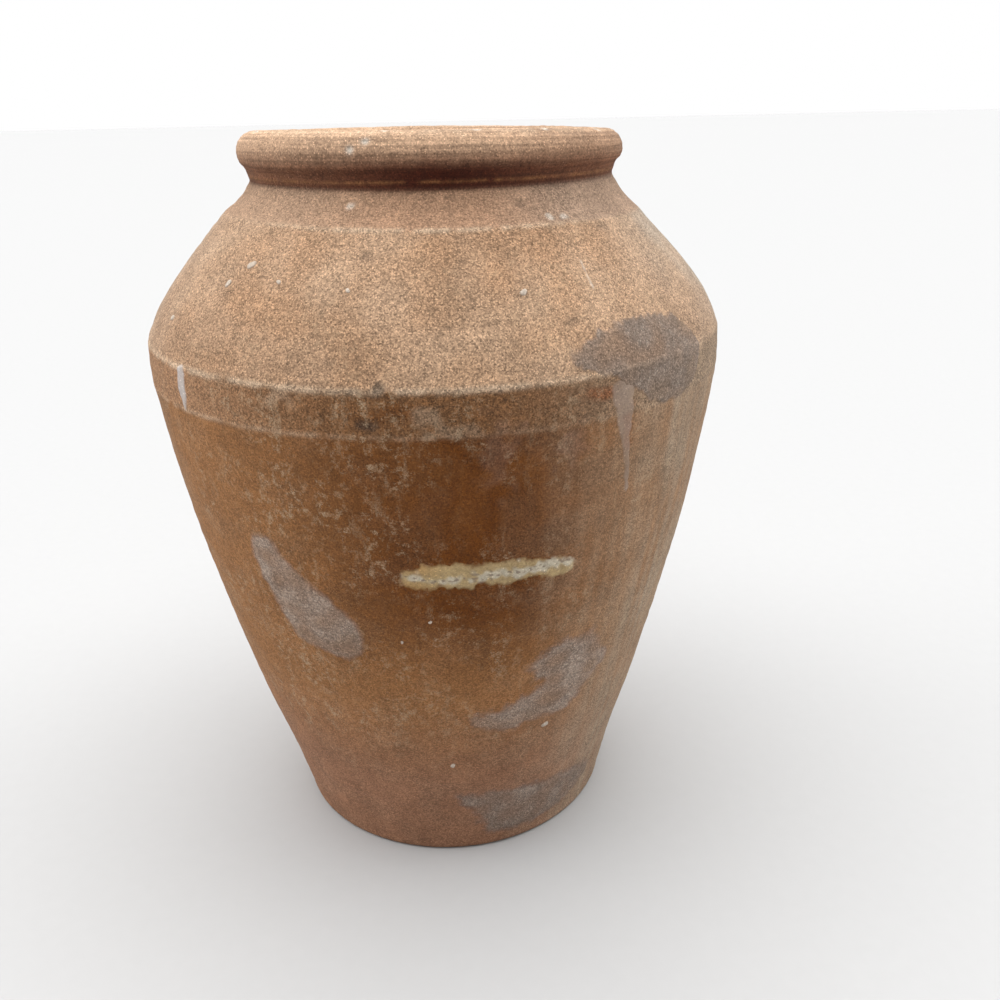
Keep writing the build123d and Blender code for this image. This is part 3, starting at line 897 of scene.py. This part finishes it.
class Paint:
    """One material's nodes, with a short call for each kind used here."""

    def __init__(self, name):
        self.material = bpy.data.materials.new(name)
        self.material.use_nodes = True
        self.tree = self.material.node_tree
        self.tree.nodes.clear()
        self.spot = self.new("ShaderNodeTexCoord").outputs["Object"]

    def new(self, kind, inputs=(), **settings):
        """A node with its settings and its inputs, each a value or another's output."""
        node = self.tree.nodes.new(kind)
        for key, value in settings.items():
            setattr(node, key, value)
        for key, value in dict(inputs).items():
            if isinstance(value, bpy.types.NodeSocket):
                self.tree.links.new(value, node.inputs[key])
            else:
                node.inputs[key].default_value = value
        return node

    def attribute(self, name, output="Fac"):
        """A value kept in the mesh."""
        return self.new("ShaderNodeAttribute", attribute_name=name).outputs[output]

    def stretched(self, rates, turn=(0, 0, 0)):
        """The place on the object, turned and then stretched along each axis."""
        turned = self.new("ShaderNodeMapping", {0: self.spot, "Rotation": turn}).outputs[0]
        return self.new("ShaderNodeVectorMath", {0: turned, 1: rates}, operation="MULTIPLY").outputs[0]

    def noise(self, scale, detail, roughness, spot=None):
        """Cloudy noise from 0 to 1."""
        inputs = {"Vector": spot or self.spot, "Scale": scale, "Detail": detail, "Roughness": roughness}
        return self.new("ShaderNodeTexNoise", inputs).outputs[0]

    def ranged(self, value, low, high, to_low=0, to_high=1):
        """A value moved from one range to another and kept within it."""
        inputs = {0: value, 1: low, 2: high, 3: to_low, 4: to_high}
        return self.new("ShaderNodeMapRange", inputs, clamp=True).outputs[0]

    def sum(self, operation, first, second):
        """Arithmetic on two values."""
        return self.new("ShaderNodeMath", {0: first, 1: second}, operation=operation).outputs[0]

    def product(self, *values):
        """Several values multiplied."""
        total = values[0]
        for value in values[1:]:
            total = self.sum("MULTIPLY", total, value)
        return total

    def scaled(self, colour, amount):
        """A colour made lighter or darker."""
        inputs = {0: colour, "Scale": amount}
        return self.new("ShaderNodeVectorMath", inputs, operation="SCALE").outputs[0]

    def mixed(self, cover, under, over):
        """A colour laid over another."""
        return self.new("ShaderNodeMix", {0: cover, 6: under, 7: over}, data_type="RGBA").outputs[2]

    def specks(self, scale, size, share):
        """Scattered specks: their size in a cell, and the share of cells that have one."""
        cell = self.new("ShaderNodeTexVoronoi", {"Vector": self.spot, "Scale": scale})
        chance = self.new("ShaderNodeSeparateColor", {0: cell.outputs["Color"]}).outputs[0]
        shown = self.ranged(chance, share, share + 0.02, 1, 0)
        return self.product(shown, self.ranged(cell.outputs["Distance"], size, size + 0.12, 1, 0))

    def cells(self, scale):
        """A random value from 0 to 1 for each grain of sand."""
        grains = self.new("ShaderNodeTexVoronoi", {"Vector": self.spot, "Scale": scale})
        return self.new("ShaderNodeSeparateColor", {0: grains.outputs["Color"]}).outputs[1]

    def ringed(self, rate_across, rate_along):
        """The place with the length along the outline as its height."""
        parts = self.new("ShaderNodeSeparateXYZ", {0: self.spot}).outputs
        across = [self.sum("MULTIPLY", part, rate_across) for part in (parts[0], parts[1])]
        along = self.sum("MULTIPLY", self.attribute("along"), rate_along)
        return self.new("ShaderNodeCombineXYZ", {0: across[0], 1: across[1], 2: along}).outputs[0]

    def around_one(self, value, spread, low=0.3, high=0.7):
        """A value moved to lie within a spread above and below 1."""
        swing = self.ranged(value, low, high, -1, 1)
        return self.sum("ADD", self.sum("MULTIPLY", swing, spread), 1)

    def finish(self, colour, roughness, height, depth):
        """The surface, with a bump of that depth in metres."""
        bump = self.new("ShaderNodeBump", {"Height": height, "Distance": depth, "Strength": 1.0})
        inputs = {"Base Color": colour, "Roughness": roughness, "Normal": bump.outputs[0]}
        shader = self.new("ShaderNodeBsdfPrincipled", inputs)
        shader.inputs["Specular IOR Level"].default_value = DULL
        self.new("ShaderNodeOutputMaterial", {"Surface": shader.outputs[0]})
        return self.material


def grain_light(paint, strength, grain, sand, fine, coarse, lines):
    """Light and dark from the sand, clouds, turned lines and rain, as one factor."""
    cloudy = paint.noise(38, 5, 0.6)
    washed = paint.noise(1, 3, 0.6, paint.stretched((170, 170, 14)))
    return paint.product(
        paint.around_one(sand, paint.product(strength, grain), 0, 1),
        paint.around_one(fine, paint.product(strength, grain)),
        paint.around_one(coarse, paint.product(strength, 0.33 * grain)),
        paint.around_one(cloudy, 0.14),
        paint.around_one(lines, paint.product(paint.attribute("turned"), 0.30)),
        paint.around_one(washed, 0.07),
    )


def dust_cover(paint, fine):
    """Where pale dust clings: broken spots and smears that come in patches."""
    broken = paint.ranged(paint.noise(150, 5, 0.8), 0.52, 0.60)
    smeared = paint.ranged(paint.noise(1, 5, 0.75, paint.stretched((130, 130, 30))), 0.55, 0.65, 0, 0.8)
    patchy = paint.ranged(paint.noise(24, 3, 0.5), 0.40, 0.58, 0.12, 1)
    gritty = paint.ranged(fine, 0.42, 0.58, 0.25, 1)
    return paint.product(paint.sum("MAXIMUM", broken, smeared), patchy, gritty, paint.attribute("dusted"))


def scratch_cover(paint):
    """Fine slanting scratches."""
    hair = paint.noise(1, 1, 0.5, paint.stretched((900, 40, 26), (0, radians(-42), 0)))
    return paint.product(paint.ranged(hair, 0.67, 0.72), paint.attribute("scratched"))


def pit_cover(paint):
    """Short broken cracks and pits in the clay."""
    vein = paint.noise(1, 3, 0.6, paint.stretched((130, 130, 330)))
    crack = paint.ranged(paint.sum("ABSOLUTE", paint.sum("SUBTRACT", vein, 0.5), 0), 0.004, 0.013, 1, 0)
    some = paint.ranged(paint.noise(70, 2, 0.5), 0.56, 0.62)
    return paint.product(crack, some, paint.attribute("pitted"))


def earthen(name, grain, pale_specks=0.20, dark_specks=0.08, depth=0.45 * MM):
    """Sandy fired clay or a mineral film on it, coloured by the mesh's own tone."""
    paint = Paint(name)
    tone = paint.attribute("tone", "Color")
    grit = paint.attribute("grit")
    strength = paint.ranged(grit, 0, 1, 0.55, 1)
    sand = paint.cells(GRAIN_RATE)
    fine = paint.noise(GRAIN_RATE, 2, 0.75)
    coarse = paint.noise(300, 3, 0.65)
    lines = paint.noise(1, 3, 0.6, paint.ringed(9, 520))
    pale = paint.product(paint.specks(760, 0.26, pale_specks), strength)
    dark = paint.product(paint.specks(560, 0.24, dark_specks), grit)
    pit = pit_cover(paint)

    colour = paint.scaled(tone, grain_light(paint, strength, grain, sand, fine, coarse, lines))
    colour = paint.mixed(dust_cover(paint, fine), colour, (*FLECK, 1))
    marks = [(pale, 0.7, 2.1), (dark, 0.6, 0.38), (scratch_cover(paint), 0.35, 2.0), (pit, 0.8, 0.22)]
    for cover, most, light in marks:
        colour = paint.mixed(paint.product(cover, most), colour, paint.scaled(tone, light))

    height = paint.sum("ADD", paint.product(sand, 0.30), paint.product(fine, 0.55))
    height = paint.sum("ADD", height, paint.product(coarse, 0.75))
    height = paint.sum("ADD", height, paint.product(lines, paint.product(paint.attribute("turned"), 0.8)))
    height = paint.sum("SUBTRACT", height, paint.sum("ADD", paint.product(dark, 0.5), pit))
    roughness = paint.ranged(coarse, 0.3, 0.7, 0.84, 0.97)
    return paint.finish(colour, roughness, height, depth)


def floor_material():
    """A matt pale floor with a barely visible grain."""
    paint = Paint("pale_floor")
    grain = paint.ranged(paint.noise(90, 3, 0.5), 0.3, 0.7, 0.985, 1.0)
    return paint.finish(paint.scaled([FLOOR_GREY] * 3, grain), 0.9, grain, 0.05 * MM)


LOOKS = {
    "terracotta": {"grain": 0.40},
    "terracotta_shoulder": {"grain": 0.40, "pale_specks": 0.26, "dark_specks": 0.15},
    "terracotta_rim": {"grain": 0.26},
    "mortar": {"grain": 0.30, "pale_specks": 0.36, "depth": 0.5 * MM},
    "adhesive": {"grain": 0.16, "pale_specks": 0.1, "dark_specks": 0.2},
    "lime": {"grain": 0.12},
}
MATERIALS = {name: earthen(name, **look) for name, look in LOOKS.items()}


def soft_light(name, come_from, wide, strength):
    """Even light from a wide part of the surroundings."""
    lamp = bpy.data.lights.new(name, "SUN")
    lamp.angle = radians(wide)
    lamp.energy = strength
    light = bpy.data.objects.new(name, lamp)
    light.rotation_euler = Vector(come_from).to_track_quat("Z", "Y").to_euler()
    bpy.context.scene.collection.objects.link(light)


def studio():
    """The pale floor, the soft lights and the white surroundings."""
    mesh = bpy.data.meshes.new("floor")
    corners = [(-1, -1), (1, -1), (1, 1), (-1, 1)]
    mesh.from_pydata([(x * FLOOR_HALF, y * FLOOR_HALF, 0) for x, y in corners], [], [(0, 1, 2, 3)])
    mesh.materials.append(floor_material())
    floor = bpy.data.objects.new("floor", mesh)
    bpy.context.scene.collection.objects.link(floor)
    for name, (come_from, wide, strength) in LIGHTS.items():
        soft_light(name, come_from, wide, strength)
    surroundings()
    bpy.context.scene.view_settings.view_transform = "Standard"


def surroundings():
    """A white world that lights the jar less than it shows behind it."""
    world = bpy.data.worlds.new("studio")
    bpy.context.scene.world = world
    world.use_nodes = True
    tree = world.node_tree
    tree.nodes.clear()
    path = tree.nodes.new("ShaderNodeLightPath")
    either = tree.nodes.new("ShaderNodeMixShader")
    out = tree.nodes.new("ShaderNodeOutputWorld")
    tree.links.new(path.outputs["Is Camera Ray"], either.inputs[0])
    for slot, strength in ((1, WORLD_LIGHT), (2, WORLD_SEEN)):
        white = tree.nodes.new("ShaderNodeBackground")
        white.inputs["Color"].default_value = (1, 1, 1, 1)
        white.inputs["Strength"].default_value = strength
        tree.links.new(white.outputs[0], either.inputs[slot])
    tree.links.new(either.outputs[0], out.inputs[0])


def camera():
    """The camera, from a little above the rim and in front."""
    data = bpy.data.cameras.new("camera")
    data.lens = CAMERA_LENS
    data.sensor_width = 36
    data.clip_start = 0.01
    seen_from = bpy.data.objects.new("camera", data)
    turns = [(-CAMERA_YAW, "Z"), (pi / 2 - CAMERA_PITCH, "X"), (CAMERA_ROLL, "Z")]
    seen_from.matrix_world = Matrix.Translation(CAMERA_PLACE * HEIGHT)
    for angle, axis in turns:
        seen_from.matrix_world = seen_from.matrix_world @ Matrix.Rotation(angle, 4, axis)
    bpy.context.scene.collection.objects.link(seen_from)
    bpy.context.scene.camera = seen_from


def build():
    """Every piece of the jar, in the place of its CAD node."""
    foot = None
    for name, (slot_name, top) in SECTIONS.items():
        clay_section(name, slot_name, foot, top)
        foot = top
    for name, (angle, corners, seed, ragged, soft, shade) in PATCHES.items():
        paint_film = partial(mortar_paint, shade=shade)
        patch = film(angle, corners, seed, FILM, FILM_STEP, ragged * MM, soft * MM, 0.12, paint_film)
        solid(name, *patch, "mortar")
    strip = film(STRIP_ANGLE, STRIP, STRIP_SEED, FILM, FINE_STEP, 0.7 * MM, 5.5 * MM, 0.25, adhesive_paint)
    solid("adhesive_strip", *strip, "adhesive")
    runs = []
    for index, (angle, corners, most, colour) in enumerate(RUNS):
        paint_film = partial(wash_paint, most=most, colour=colour)
        seed = RUN_SEED + index
        runs.append(film(angle, corners, seed, RUN_FILM, FINE_STEP, 0.35 * MM, 2.4 * MM, 0.06, paint_film))
    solid("lime_runs", *together(runs), "lime")
    chips = [speck(*row, SPECK_SEED + index) for index, row in enumerate(SPECKS)]
    solid("lime_specks", *together(chips), "lime")


build()
studio()
camera()
